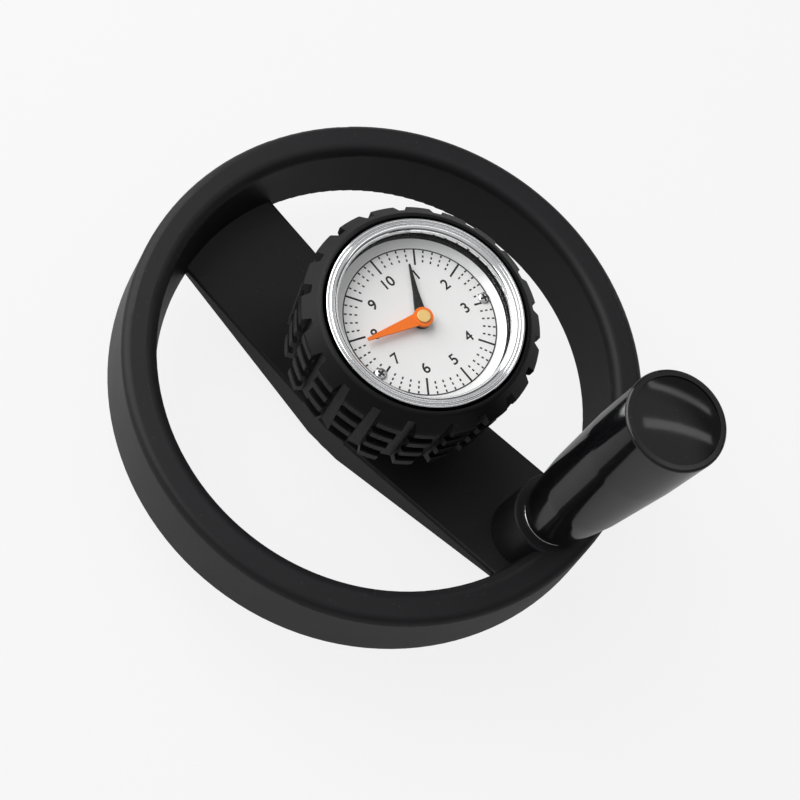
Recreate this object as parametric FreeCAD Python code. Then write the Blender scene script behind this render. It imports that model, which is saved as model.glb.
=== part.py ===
import FreeCAD, Part
import math
import os

V = FreeCAD.Vector
UP = V(0, 0, 1)

# Handwheel with a gravity-type position indicator in its hub, in millimetres.
# The origin is the centre of the shaft bore at the hub's rear face, +Z points at the dial
# and +X points at the turning handle.

# Clearances
fit_clear = 0.03            # between a piece and the seat it is pressed or screwed into
run_clear = 0.05            # radial, between a shaft and the hole it turns in
end_clear = 0.3             # axial, between faces that turn past each other
air_clear = 0.8             # between moving pieces and walls that they only pass

# Rim, web and hub
rim_r = 80.0                # outer radius at the rear edge
rim_width = 13.7            # at the rear edge
rim_height = 22.2
rim_outer_draft = 2.6       # how far the outer wall leans in towards the front
rim_inner_draft = 1.7       # how far the inner wall leans out towards the front
rim_outer_round = 2.6       # along the front edge outside
rim_inner_round = 3.2       # along the front edge inside
rim_rear_round = 0.8
rim_setback = 21.3          # rim's rear face ahead of the hub's rear face
web_width = 36.6
web_tip_t = 2.6             # web's thickness where it meets the rim
web_dish = 11.1             # drop of the web's front face from the rim to the axis
web_rear_step = 1.0         # web's rear face ahead of the rim's rear face
web_keel_half = 6.0         # half length of the flat behind the middle of the web
web_keel_z = 1.5            # that flat's height ahead of the hub's rear face
web_round = 1.1
hub_inset = 0.1             # hub's side inside the web's edges
hub_chamfer = 1.0
collar_inset = 0.67         # collar's side inside the web's edges
collar_wall = 2.6           # round the socket that holds the indicator
collar_depth = 25.0
collar_chamfer = 0.6

# Shaft bush and grub screws
shaft_r = 7.0
bush_wall = 4.5
bush_len = 13.0
bush_floor = 3.0            # hub material between the bush and the indicator
key_width = 5.0
key_depth = 2.3
set_screw_r = 2.9
set_screw_sink = 0.6
clamp_screw_r = 2.4
clamp_screw_sink = 0.4
clamp_screw_drop = 10.0     # below the collar's front edge

# Turning handle
crank_inset = 2.5           # handle's axis inside the rim's inner edge
boss_r = 12.2
boss_round = 0.6
spindle_r = 4.5
thread_r = 4.0
thread_len = 17.0
thread_point = 1.0          # room below the thread's end
washer_r = 9.4
washer_t = 0.8
washer_round = 0.3
grip_len = 77.7
grip_base_r = 9.9
grip_waist_r = 11.9
grip_waist_rise = 24.0
grip_top_r = 12.9
grip_shoulder_drop = 22.0
grip_base_round = 2.4
grip_lip_round = 0.7
cap_r = 11.15
cap_t = 3.0
cap_dome = 0.9
cap_edge = 0.3              # cap's side ends this far below the sleeve's lip
end_pocket_r = 8.2
end_pocket_depth = 9.0      # below the cap
end_washer_t = 1.5
end_screw_r = 2.5
end_screw_len = 12.0
end_screw_head_r = 4.4
end_screw_head_h = 3.0

# Indicator case
spigot_len = 28.9
spigot_wall = 1.8
spigot_floor = 3.0
pan_floor = 2.4
pan_round = 0.8
dial_r = 23.2
dial_t = 0.8
dial_ledge = 0.9
neck_wall = 2.8             # case wall outside the dial, inside the bezel
neck_len = 5.8              # length of wall inside the bezel
bearing_r = 3.0
bearing_sink = 2.0
bearing_stand = 1.0

# Bezel, window and the ring between dial and window
bezel_wall = 1.5
bezel_lip_t = 2.1
bezel_lip_w = 1.9           # how far the lip reaches in over the window
bezel_bead_w = 0.8          # rounded bead along the outer edge
bezel_fillet_w = 0.7        # flat raised line inside the bead
bezel_groove_w = 0.2        # on both sides of that line
bezel_groove_d = 0.25
bezel_gap = 0.9             # open gap between bezel and rubber
cone_h = 1.2
cone_foot_w = 1.1           # width of the ring's foot on the dial
cone_rim_w = 1.85           # width of the ring's front edge
window_t = 1.2
window_gap = 0.4            # between the end of the pointers' pin and the window

# Rubber tread ring
ring_wall = 4.3             # over the ribs, at the rear edge
ring_flare = 1.0            # how much wider the ring is at the front
ring_below_bezel = 0.4
crown_w = 0.9               # flat front face
crown_round = 1.6           # between the front face and the sloping shoulder
shoulder_drop = 4.2         # from the front face to the foot of the shoulder
shoulder_round = 1.2        # at that foot
rib_count = 4
rib_width = 3.5
rib_edge = 0.3              # bevel on the ribs
slot_depth = 1.5            # between the ribs
valley_count = 20
valley_first_angle = -0.1
valley_rear_w = 3.4         # width of a valley's floor at the rear edge
valley_front_w = 2.2        # and at the front
valley_depth = 2.4          # below the top of the ribs
valley_slope = 0.35         # how far each side wall leans out per millimetre of height

# Movement
plate_t = 1.5
plate_space = 16.0
plate_dial_gap = 2.4        # room for screw heads under the dial
gear_module = 0.4
drive_teeth = 13
idler_teeth = 39
idler_pinion_teeth = 12
wheel_t = 1.6
pinion_len = 3.6
gear_step = 1.6             # boss between a wheel and the next piece on its axis
arbor_r = 1.4
pin_r = 1.9
pin_h = 0.5
pin_round = 0.2
tube_wall = 0.65
stud_r = 1.2
pendulum_len = 21.0
pendulum_hub_r = 3.2
idler_angle = 20.0
pillar_r = 2.2
pillar_ring_r = 17.4
pillar_angles = (90.0, 200.0, 310.0)
movement_screw_angles = (50.0, 150.0, 260.0)
small_screw_r = 0.95
small_screw_head_r = 1.9
small_screw_head_h = 1.1
small_screw_grip = 5.0      # thread below the plate

# Dial furniture
dial_zero_angle = 173.9     # direction of the dial's zero
dial_steps = 10
turn_reading = 7.85
count_reading = 0.81
pointer_t = 0.6
pointer_boss_h = 1.0
turn_pointer_boss_r = 2.8
turn_pointer_len = 17.3
turn_pointer_widths = (3.9, 2.4, 0.8)       # at the axis, half way and at the tip
count_pointer_boss_r = 2.7
count_pointer_len = 16.5
count_pointer_widths = (3.6, 1.5, 0.4)
pointer_dial_gap = 0.5
dial_screw_ring_r = 20.2
dial_screw_angles = (68.8, 279.3)
dial_screw_r = 0.8
dial_screw_head_r = 1.7
dial_screw_head_h = 0.7
dial_post_r = 1.7

# Heights along the axis, worked out from the sizes above
rim_front_z = rim_setback + rim_height
rim_inner_r = rim_r - rim_width
crank_r = rim_inner_r - crank_inset
web_tip_z = rim_setback + web_rear_step + web_tip_t
web_axis_z = web_tip_z - web_dish
socket_z = bush_len + bush_floor
collar_z = socket_z + collar_depth
pan_z = socket_z + spigot_len
pan_floor_z = pan_z + pan_floor
front_plate_z = pan_floor_z + plate_t + plate_space
dial_z = front_plate_z + plate_t + plate_dial_gap
dial_face_z = dial_z + dial_t
case_step_z = dial_face_z - neck_len
count_boss_z = dial_face_z + pointer_dial_gap
turn_boss_z = count_boss_z + pointer_boss_h + end_clear
pin_z = turn_boss_z + pointer_boss_h
gasket_z = dial_face_z + cone_h
window_z = pin_z + pin_h + window_gap
lip_z = window_z + window_t
bezel_top_z = lip_z + bezel_lip_t
ring_top_z = bezel_top_z - ring_below_bezel
shoulder_z = ring_top_z - shoulder_drop

# Radii of pieces that fit into each other
hub_r = web_width / 2 - hub_inset
collar_r = web_width / 2 - collar_inset
socket_r = collar_r - collar_wall
spigot_r = socket_r - fit_clear
bush_r = shaft_r + bush_wall
chamber_r = spigot_r - spigot_wall
pan_bore_r = dial_r - dial_ledge
plate_r = pan_bore_r - fit_clear
neck_r = dial_r + fit_clear + neck_wall
bezel_in_r = neck_r + fit_clear
bezel_r = bezel_in_r + bezel_wall
case_r = bezel_r + bezel_gap
ring_in_r = case_r + fit_clear
tube_in_r = arbor_r + run_clear
tube_r = tube_in_r + tube_wall

# Gear centres: both pairs share one centre distance
centre_dist = gear_module * (drive_teeth + idler_teeth) / 2
pointer_teeth = drive_teeth + idler_teeth - idler_pinion_teeth
idler_x = centre_dist * math.cos(math.radians(idler_angle))
idler_y = centre_dist * math.sin(math.radians(idler_angle))

# Heights of the movement's pieces
gear_floor_z = pan_floor_z + plate_t + end_clear
idler_wheel_z = gear_floor_z + gear_step
drive_z = idler_wheel_z - (pinion_len - wheel_t) / 2
tube_z = drive_z + pinion_len + end_clear
pointer_wheel_z = tube_z + gear_step
idler_pinion_z = idler_wheel_z + wheel_t
gear_top_z = front_plate_z - end_clear
arbor_foot_z = socket_z + spigot_floor - bearing_sink + end_clear
bearing_top_z = socket_z + spigot_floor + bearing_stand
pendulum_z = bearing_top_z + end_clear

# Heights of the handle's pieces
washer_z = rim_front_z
grip_z = washer_z + washer_t + end_clear
grip_top_z = grip_z + grip_len
cap_z = grip_top_z - cap_t
end_pocket_z = cap_z - end_pocket_depth
spindle_top_z = end_pocket_z + end_clear


def at(angle, radius, z=0.0):
    """Point at an angle and a radius about the wheel's axis."""
    turn = math.radians(angle)
    return V(radius * math.cos(turn), radius * math.sin(turn), z)


def cylinder(radius, z_low, z_high, centre=V(0, 0, 0)):
    return Part.makeCylinder(radius, z_high - z_low, V(centre.x, centre.y, z_low), UP)


def tube(inner, outer, z_low, z_high, centre=V(0, 0, 0)):
    return cylinder(outer, z_low, z_high, centre).cut(cylinder(inner, z_low, z_high, centre))


def outline(corners):
    """Closed face in the XZ plane. A corner is (x, z) or, with a tangent arc there, (x, z, radius)."""
    points = [V(corner[0], 0, corner[1]) for corner in corners]
    rounds = [corner[2] if len(corner) > 2 else 0.0 for corner in corners]
    stretches = []
    for i, point in enumerate(points):
        if not rounds[i]:
            stretches.append((point, None, point))
            continue
        back = (points[i - 1] - point).normalize()
        ahead = (points[(i + 1) % len(points)] - point).normalize()
        half = back.getAngle(ahead) / 2
        reach = rounds[i] / math.tan(half)
        middle = (back + ahead).normalize() * (rounds[i] / math.sin(half) - rounds[i])
        stretches.append((point + back * reach, point + middle, point + ahead * reach))
    edges = []
    for i, (start, middle, end) in enumerate(stretches):
        if middle is not None:
            edges.append(Part.Arc(start, middle, end).toShape())
        following = stretches[(i + 1) % len(stretches)][0]
        if (following - end).Length > 1e-6:
            edges.append(Part.LineSegment(end, following).toShape())
    return Part.Face(Part.Wire(edges))


def turned(corners, centre=V(0, 0, 0)):
    """Solid of revolution of an outline about the line through centre along Z."""
    solid = outline(corners).revolve(V(0, 0, 0), UP, 360)
    solid.translate(V(centre.x, centre.y, 0))
    return solid


def radial_rod(radius, inner_y, outer_y, z):
    """Cylinder lying along +Y, where the grub screws are."""
    return Part.makeCylinder(radius, outer_y - inner_y, V(0, inner_y, z), V(0, 1, 0))


def screw(radius, grip, head_r, head_h, seat):
    """Round-headed screw whose head sits on the point seat and whose shank goes down."""
    head = cylinder(head_r, seat.z, seat.z + head_h, seat)
    return head.fuse(cylinder(radius, seat.z - grip, seat.z, seat)).removeSplitter()


def gear(teeth, z_low, thickness, bore_r, first_angle, centre=V(0, 0, 0)):
    """Spur gear with narrow straight-flanked teeth, one of them centred at first_angle."""
    pitch_r = gear_module * teeth / 2
    root_r = pitch_r - 1.25 * gear_module
    tip_r = pitch_r + 0.9 * gear_module
    pitch_angle = 360 / teeth
    root_half = 0.30 * pitch_angle
    tip_half = 0.09 * pitch_angle
    corners = []
    for i in range(teeth):
        middle = first_angle + i * pitch_angle
        corners.append(at(middle - root_half, root_r, z_low))
        corners.append(at(middle - tip_half, tip_r, z_low))
        corners.append(at(middle + tip_half, tip_r, z_low))
        corners.append(at(middle + root_half, root_r, z_low))
    blank = Part.Face(Part.makePolygon(corners + corners[:1])).extrude(UP * thickness)
    blank.translate(V(centre.x, centre.y, 0))
    return blank.cut(cylinder(bore_r, z_low, z_low + thickness, centre))


def web_front_z(x):
    """Height of the web's front face at a distance from the axis."""
    return web_axis_z + web_dish * abs(x) / rim_inner_r


def rim():
    return turned([
        (rim_inner_r, rim_setback, rim_rear_round),
        (rim_r, rim_setback, rim_rear_round),
        (rim_r - rim_outer_draft, rim_front_z, rim_outer_round),
        (rim_inner_r + rim_inner_draft, rim_front_z, rim_inner_round),
    ])


def web():
    """Dished bar from side to side of the rim, thin at the rim and deep at the hub."""
    end_x = rim_r - rim_width / 2
    rear_z = rim_setback + web_rear_step
    side = outline([
        (0, web_axis_z),
        (-end_x, web_front_z(end_x)),
        (-end_x, rear_z),
        (-rim_inner_r, rear_z),
        (-web_keel_half, web_keel_z),
        (web_keel_half, web_keel_z),
        (rim_inner_r, rear_z),
        (end_x, rear_z),
        (end_x, web_front_z(end_x)),
    ])
    bar = side.extrude(V(0, web_width, 0))
    bar.translate(V(0, -web_width / 2, 0))
    front_edges = []
    for edge in bar.Edges:
        middle = edge.valueAt((edge.FirstParameter + edge.LastParameter) / 2)
        if abs(middle.z - web_front_z(middle.x)) < 1e-3 and abs(middle.y) > web_width / 4:
            front_edges.append(edge)
    return bar.makeFillet(web_round, front_edges)


def wheel_body():
    handle_foot = V(crank_r, 0, 0)
    hub_top_z = web_front_z(hub_r)
    hub = turned([
        (0, 0),
        (hub_r - hub_chamfer, 0),
        (hub_r, hub_chamfer),
        (hub_r, hub_top_z),
        (0, hub_top_z),
    ])
    collar = turned([
        (0, bush_len),
        (collar_r, bush_len),
        (collar_r, collar_z - collar_chamfer),
        (collar_r - collar_chamfer, collar_z),
        (0, collar_z),
    ])
    boss_low_z = rim_setback + web_rear_step
    boss = turned([
        (0, boss_low_z),
        (boss_r, boss_low_z),
        (boss_r, rim_front_z, boss_round),
        (0, rim_front_z),
    ], handle_foot)
    body = rim().fuse([web(), hub, collar, boss]).removeSplitter()
    socket = cylinder(socket_r, socket_z, collar_z)
    bush_hole = cylinder(bush_r + fit_clear, 0, bush_len)
    thread_hole = cylinder(thread_r + fit_clear, rim_front_z - thread_len - thread_point,
                           rim_front_z, handle_foot)
    side_y = web_width / 2
    set_hole = radial_rod(set_screw_r + fit_clear, shaft_r, side_y, bush_len / 2)
    clamp_hole = radial_rod(clamp_screw_r + fit_clear, spigot_r / 2, side_y, collar_z - clamp_screw_drop)
    return body.cut([socket, bush_hole, thread_hole, set_hole, clamp_hole])


def hub_bush():
    body = tube(shaft_r, bush_r, 0, bush_len)
    keyway = Part.makeBox(key_width, shaft_r + key_depth, bush_len, V(-key_width / 2, 0, 0))
    return body.cut([keyway, radial_rod(set_screw_r + fit_clear, shaft_r, bush_r, bush_len / 2)])


def shaft_set_screw():
    return radial_rod(set_screw_r, shaft_r + key_depth, web_width / 2 - set_screw_sink, bush_len / 2)


def indicator_clamp_screw():
    return radial_rod(clamp_screw_r, spigot_r, collar_r - clamp_screw_sink, collar_z - clamp_screw_drop)


def handle_spindle():
    shank = turned([
        (0, rim_front_z - thread_len),
        (thread_r, rim_front_z - thread_len),
        (thread_r, rim_front_z),
        (spindle_r, rim_front_z),
        (spindle_r, spindle_top_z),
        (0, spindle_top_z),
    ], V(crank_r, 0, 0))
    screw_hole = cylinder(end_screw_r + fit_clear, spindle_top_z - end_screw_len,
                          spindle_top_z, V(crank_r, 0, 0))
    return shank.cut(screw_hole)


def thrust_washer():
    bore_r = spindle_r + fit_clear
    return turned([
        (bore_r, washer_z),
        (washer_r, washer_z),
        (washer_r, washer_z + washer_t, washer_round),
        (bore_r, washer_z + washer_t),
    ], V(crank_r, 0, 0))


def spindle_washer():
    return tube(end_screw_r + fit_clear, end_pocket_r - air_clear, spindle_top_z,
                spindle_top_z + end_washer_t, V(crank_r, 0, 0))


def spindle_screw():
    seat = V(crank_r, 0, spindle_top_z + end_washer_t)
    return screw(end_screw_r, end_screw_len, end_screw_head_r, end_screw_head_h, seat)


def handle_grip():
    """Sleeve that swells towards its outer end, with a pocket for the end washer and a seat for the cap."""
    bore_r = spindle_r + run_clear
    return turned([
        (bore_r, grip_z),
        (grip_base_r, grip_z, grip_base_round),
        (grip_waist_r, grip_z + grip_waist_rise, grip_waist_rise * 2),
        (grip_top_r, grip_top_z - grip_shoulder_drop, grip_waist_rise * 2),
        (grip_top_r, grip_top_z, grip_lip_round),
        (cap_r + fit_clear, grip_top_z),
        (cap_r + fit_clear, cap_z),
        (end_pocket_r, cap_z),
        (end_pocket_r, end_pocket_z),
        (bore_r, end_pocket_z),
    ], V(crank_r, 0, 0))


def handle_cap():
    """Disc with a spherical front that stands a little proud of the sleeve."""
    edge_z = grip_top_z - cap_edge
    rise = cap_edge + cap_dome
    dome_r = (cap_r ** 2 + rise ** 2) / (2 * rise)
    half_turn = math.asin(cap_r / dome_r) / 2
    top = V(0, 0, edge_z + rise)
    half = V(dome_r * math.sin(half_turn), 0, top.z - dome_r * (1 - math.cos(half_turn)))
    foot = V(cap_r, 0, cap_z)
    edge = V(cap_r, 0, edge_z)
    edges = [
        Part.LineSegment(V(0, 0, cap_z), foot).toShape(),
        Part.LineSegment(foot, edge).toShape(),
        Part.Arc(edge, half, top).toShape(),
        Part.LineSegment(top, V(0, 0, cap_z)).toShape(),
    ]
    cap = Part.Face(Part.Wire(edges)).revolve(V(0, 0, 0), UP, 360)
    cap.translate(V(crank_r, 0, 0))
    return cap


def indicator_case():
    """Stepped can: the spigot holds the pendulum, the pan holds the gears and carries the dial."""
    pocket_z = socket_z + spigot_floor - bearing_sink
    seat_r = dial_r + fit_clear
    can = turned([
        (0, socket_z),
        (spigot_r, socket_z),
        (spigot_r, pan_z),
        (case_r, pan_z, pan_round),
        (case_r, case_step_z),
        (neck_r, case_step_z),
        (neck_r, dial_face_z),
        (seat_r, dial_face_z),
        (seat_r, dial_z),
        (pan_bore_r, dial_z),
        (pan_bore_r, pan_floor_z),
        (chamber_r, pan_floor_z),
        (chamber_r, socket_z + spigot_floor),
        (bearing_r + fit_clear, socket_z + spigot_floor),
        (bearing_r + fit_clear, pocket_z),
        (0, pocket_z),
    ])
    holes = [cylinder(small_screw_r + fit_clear, pan_z, pan_floor_z, at(angle, pillar_ring_r))
             for angle in movement_screw_angles]
    return can.cut(holes)


def rear_bearing():
    return tube(arbor_r + run_clear, bearing_r, socket_z + spigot_floor - bearing_sink, bearing_top_z)


def rib_r(z):
    """Radius over the ribs, which grows towards the front."""
    return ring_in_r + ring_wall + ring_flare * (z - pan_z) / (ring_top_z - pan_z)


def tread_slot(low_z, high_z):
    """Cutter for the slot between two ribs, wider at its mouth to bevel both of them."""
    clear_r = rib_r(high_z) + slot_depth
    return turned([
        (rib_r(low_z) - slot_depth, low_z),
        (rib_r(low_z) - rib_edge, low_z),
        (rib_r(low_z), low_z - rib_edge),
        (clear_r, low_z - rib_edge),
        (clear_r, high_z + rib_edge),
        (rib_r(high_z), high_z + rib_edge),
        (rib_r(high_z) - rib_edge, high_z),
        (rib_r(high_z) - slot_depth, high_z),
    ])


def valley_section(z, floor_w):
    """Cross-section of a valley: a flat floor and walls that lean out past the ribs."""
    floor_r = rib_r(z) - valley_depth
    rise = valley_depth + slot_depth
    mouth_w = floor_w + 2 * valley_slope * rise
    corners = [
        V(floor_r, -floor_w / 2, z),
        V(floor_r + rise, -mouth_w / 2, z),
        V(floor_r + rise, mouth_w / 2, z),
        V(floor_r, floor_w / 2, z),
    ]
    return Part.makePolygon(corners + corners[:1])


def grip_ring():
    """Rubber ring with a sloping shoulder, slots that leave ribs round it, and valleys across the ribs."""
    blank = turned([
        (ring_in_r, pan_z),
        (rib_r(pan_z), pan_z, rib_edge),
        (rib_r(shoulder_z), shoulder_z, shoulder_round),
        (ring_in_r + crown_w, ring_top_z, crown_round),
        (ring_in_r, ring_top_z),
    ])
    slot_w = (shoulder_z - pan_z - rib_count * rib_width) / (rib_count - 1)
    cutters = []
    for i in range(rib_count - 1):
        low_z = pan_z + rib_width + i * (rib_width + slot_w)
        cutters.append(tread_slot(low_z, low_z + slot_w))
    valley = Part.makeLoft([valley_section(pan_z, valley_rear_w),
                            valley_section(ring_top_z, valley_front_w)], True, True)
    for i in range(valley_count):
        placed = valley.copy()
        placed.rotate(V(0, 0, 0), UP, valley_first_angle + 360 * i / valley_count)
        cutters.append(placed)
    return blank.cut(cutters)


def bezel_ring():
    """Skirt round the case's neck, with a beaded lip that rolls over down to the window."""
    lip_in_r = bezel_in_r - bezel_lip_w
    bead_in_r = bezel_r - bezel_bead_w
    line_out_r = bead_in_r - bezel_groove_w
    line_in_r = line_out_r - bezel_fillet_w
    roll_r = line_in_r - bezel_groove_w
    groove_z = bezel_top_z - bezel_groove_d
    return turned([
        (bezel_in_r, case_step_z),
        (bezel_r, case_step_z),
        (bezel_r, bezel_top_z, bezel_bead_w * 0.45),
        (bead_in_r, bezel_top_z, bezel_bead_w * 0.3),
        (bead_in_r, groove_z),
        (line_out_r, groove_z),
        (line_out_r, bezel_top_z),
        (line_in_r, bezel_top_z),
        (line_in_r, groove_z),
        (roll_r, groove_z),
        (lip_in_r, groove_z, roll_r - lip_in_r),
        (lip_in_r, lip_z),
        (bezel_in_r, lip_z),
    ])


def window_gasket():
    return tube(bezel_in_r - bezel_lip_w, neck_r, gasket_z, window_z)


def window():
    return cylinder(neck_r, window_z, lip_z)


def dial_cone():
    """Bright sloping ring between the dial and the window."""
    return turned([
        (dial_r - cone_foot_w, dial_face_z),
        (neck_r, dial_face_z),
        (neck_r, gasket_z),
        (neck_r - cone_rim_w, gasket_z),
    ])


def dial_plate():
    plate = tube(tube_r + air_clear / 2, dial_r, dial_z, dial_face_z)
    holes = [cylinder(dial_screw_r + fit_clear, dial_z, dial_face_z, at(angle, dial_screw_ring_r))
             for angle in dial_screw_angles]
    return plate.cut(holes)


def dial_screws():
    grip = dial_t + plate_dial_gap + plate_t
    return Part.makeCompound([
        screw(dial_screw_r, grip, dial_screw_head_r, dial_screw_head_h,
              at(angle, dial_screw_ring_r, dial_face_z))
        for angle in dial_screw_angles])


def dial_posts():
    low_z = front_plate_z + plate_t
    return Part.makeCompound([
        tube(dial_screw_r + fit_clear, dial_post_r, low_z, dial_z, at(angle, dial_screw_ring_r))
        for angle in dial_screw_angles])


def back_plate():
    high_z = pan_floor_z + plate_t
    plate = tube(arbor_r + run_clear, plate_r, pan_floor_z, high_z)
    holes = [cylinder(small_screw_r + fit_clear, pan_floor_z, high_z, at(angle, pillar_ring_r))
             for angle in movement_screw_angles]
    holes.append(cylinder(stud_r + fit_clear, pan_floor_z, high_z, V(idler_x, idler_y, 0)))
    return plate.cut(holes)


def front_plate():
    high_z = front_plate_z + plate_t
    plate = tube(tube_r + run_clear, plate_r, front_plate_z, high_z)
    holes = [cylinder(small_screw_r + fit_clear, front_plate_z, high_z, at(angle, pillar_ring_r))
             for angle in pillar_angles]
    holes += [cylinder(dial_screw_r + fit_clear, front_plate_z, high_z, at(angle, dial_screw_ring_r))
              for angle in dial_screw_angles]
    holes.append(cylinder(stud_r + fit_clear, front_plate_z, high_z, V(idler_x, idler_y, 0)))
    return plate.cut(holes)


def plate_pillars():
    low_z = pan_floor_z + plate_t
    pillars = []
    for angle in pillar_angles:
        foot = at(angle, pillar_ring_r)
        pillar = cylinder(pillar_r, low_z, front_plate_z, foot)
        thread = cylinder(small_screw_r + fit_clear, front_plate_z - small_screw_grip, front_plate_z, foot)
        pillars.append(pillar.cut(thread))
    return Part.makeCompound(pillars)


def pillar_screws():
    seat_z = front_plate_z + plate_t
    return Part.makeCompound([
        screw(small_screw_r, plate_t + small_screw_grip, small_screw_head_r, small_screw_head_h,
              at(angle, pillar_ring_r, seat_z))
        for angle in pillar_angles])


def movement_screws():
    seat_z = pan_floor_z + plate_t
    return Part.makeCompound([
        screw(small_screw_r, plate_t + pan_floor, small_screw_head_r, small_screw_head_h,
              at(angle, pillar_ring_r, seat_z))
        for angle in movement_screw_angles])


def idler_stud():
    return cylinder(stud_r, pan_floor_z, front_plate_z + plate_t, V(idler_x, idler_y, 0))


def turn_angle():
    """Direction of the pointer that shows one wheel turn."""
    return dial_zero_angle - 360 * turn_reading / dial_steps


def count_angle():
    """Direction of the pointer that counts the turns."""
    return dial_zero_angle - 360 * count_reading / dial_steps


def arbor():
    return turned([
        (0, arbor_foot_z),
        (arbor_r, arbor_foot_z),
        (arbor_r, pin_z),
        (pin_r, pin_z),
        (pin_r, pin_z + pin_h, pin_round),
        (0, pin_z + pin_h),
    ])


def pendulum_weight():
    """Half-round weight that hangs on the side away from its pointer."""
    weight_r = chamber_r - air_clear
    half = Part.makeCylinder(weight_r, pendulum_len, V(0, 0, pendulum_z), UP, 180)
    half.rotate(V(0, 0, 0), UP, turn_angle() + 90)
    hub = cylinder(pendulum_hub_r, pendulum_z, pendulum_z + pendulum_len)
    bore = cylinder(arbor_r + fit_clear, pendulum_z, pendulum_z + pendulum_len)
    return half.fuse(hub).removeSplitter().cut(bore)


def drive_pinion():
    return gear(drive_teeth, drive_z, pinion_len, arbor_r + fit_clear, idler_angle)


def idler_wheel():
    """Large wheel with a boss that stands it off the back plate."""
    axis = V(idler_x, idler_y, 0)
    bore_r = stud_r + run_clear
    first = idler_angle + 180 + 180 / idler_teeth
    wheel = gear(idler_teeth, idler_wheel_z, wheel_t, bore_r, first, axis)
    return wheel.fuse(tube(bore_r, stud_r * 2, gear_floor_z, idler_wheel_z, axis)).removeSplitter()


def idler_pinion():
    """Small pinion on the idler wheel, with a sleeve up to the front plate."""
    axis = V(idler_x, idler_y, 0)
    bore_r = stud_r + run_clear
    first = idler_angle + 180 + 180 / idler_pinion_teeth
    tooth_len = pointer_wheel_z + wheel_t + gear_step - idler_pinion_z
    pinion = gear(idler_pinion_teeth, idler_pinion_z, tooth_len, bore_r, first, axis)
    root_r = gear_module * (idler_pinion_teeth / 2 - 1.25)
    sleeve = tube(bore_r, root_r, idler_pinion_z + tooth_len, gear_top_z, axis)
    return pinion.fuse(sleeve).removeSplitter()


def pointer_wheel():
    """Wheel of the counting pointer, with a boss up to the front plate."""
    bore_r = tube_r + fit_clear
    wheel = gear(pointer_teeth, pointer_wheel_z, wheel_t, bore_r, idler_angle)
    boss = tube(bore_r, tube_r * 1.6, pointer_wheel_z + wheel_t, gear_top_z)
    return wheel.fuse(boss).removeSplitter()


def pointer_tube():
    return tube(tube_in_r, tube_r, tube_z, count_boss_z + pointer_boss_h)


def pointer(length, widths, boss_r, bore_r, boss_z, angle):
    """Tapered pointer with a round boss, turned to an angle."""
    blade_z = boss_z + (pointer_boss_h - pointer_t) / 2
    stations = [length * i / (len(widths) - 1) for i in range(len(widths))]
    right = [V(x, -w / 2, blade_z) for x, w in zip(stations, widths)]
    left = [V(x, w / 2, blade_z) for x, w in zip(stations, widths)]
    corners = right + left[::-1]
    blade = Part.Face(Part.makePolygon(corners + corners[:1])).extrude(UP * pointer_t)
    boss = cylinder(boss_r, boss_z, boss_z + pointer_boss_h)
    shape = boss.fuse(blade).removeSplitter().cut(cylinder(bore_r, boss_z, boss_z + pointer_boss_h))
    shape.rotate(V(0, 0, 0), UP, angle)
    return shape


def count_pointer():
    return pointer(count_pointer_len, count_pointer_widths, count_pointer_boss_r,
                   tube_r + fit_clear, count_boss_z, count_angle())


def turn_pointer():
    return pointer(turn_pointer_len, turn_pointer_widths, turn_pointer_boss_r,
                   arbor_r + fit_clear, turn_boss_z, turn_angle())


SUB_PARTS = (
    wheel_body, hub_bush, shaft_set_screw, indicator_clamp_screw,
    handle_spindle, thrust_washer, spindle_washer, spindle_screw, handle_grip, handle_cap,
    indicator_case, rear_bearing, grip_ring, bezel_ring, window_gasket, window, dial_cone,
    dial_plate, dial_screws, dial_posts,
    back_plate, front_plate, plate_pillars, pillar_screws, movement_screws, idler_stud,
    arbor, pendulum_weight, drive_pinion, idler_wheel, idler_pinion,
    pointer_wheel, pointer_tube, count_pointer, turn_pointer,
)

os.makedirs("parts", exist_ok=True)
for sub_part in SUB_PARTS:
    sub_part().exportStep(f"parts/{sub_part.__name__}.step")
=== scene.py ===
import math

import bmesh
import bpy
from mathutils import Matrix, Vector


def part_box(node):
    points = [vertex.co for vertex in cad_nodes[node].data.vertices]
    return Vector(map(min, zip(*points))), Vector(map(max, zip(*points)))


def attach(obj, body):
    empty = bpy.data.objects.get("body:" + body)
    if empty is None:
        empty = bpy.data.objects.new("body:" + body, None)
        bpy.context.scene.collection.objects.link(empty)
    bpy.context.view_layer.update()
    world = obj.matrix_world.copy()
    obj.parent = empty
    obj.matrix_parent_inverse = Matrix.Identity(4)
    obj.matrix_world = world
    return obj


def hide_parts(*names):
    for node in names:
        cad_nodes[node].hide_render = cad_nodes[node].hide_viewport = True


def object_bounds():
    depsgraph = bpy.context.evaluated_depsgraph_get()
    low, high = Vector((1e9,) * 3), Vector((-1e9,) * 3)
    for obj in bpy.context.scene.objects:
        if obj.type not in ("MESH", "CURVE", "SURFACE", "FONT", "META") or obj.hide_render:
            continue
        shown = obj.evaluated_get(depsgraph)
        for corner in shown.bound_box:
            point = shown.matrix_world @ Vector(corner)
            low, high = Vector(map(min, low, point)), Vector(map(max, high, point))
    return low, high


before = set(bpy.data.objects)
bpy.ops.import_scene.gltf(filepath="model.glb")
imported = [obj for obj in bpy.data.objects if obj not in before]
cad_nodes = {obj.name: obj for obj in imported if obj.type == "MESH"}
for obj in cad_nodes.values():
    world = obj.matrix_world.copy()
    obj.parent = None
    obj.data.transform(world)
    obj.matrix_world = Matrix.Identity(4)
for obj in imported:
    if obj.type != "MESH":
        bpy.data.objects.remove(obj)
cad_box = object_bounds()
scene = bpy.context.scene

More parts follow.
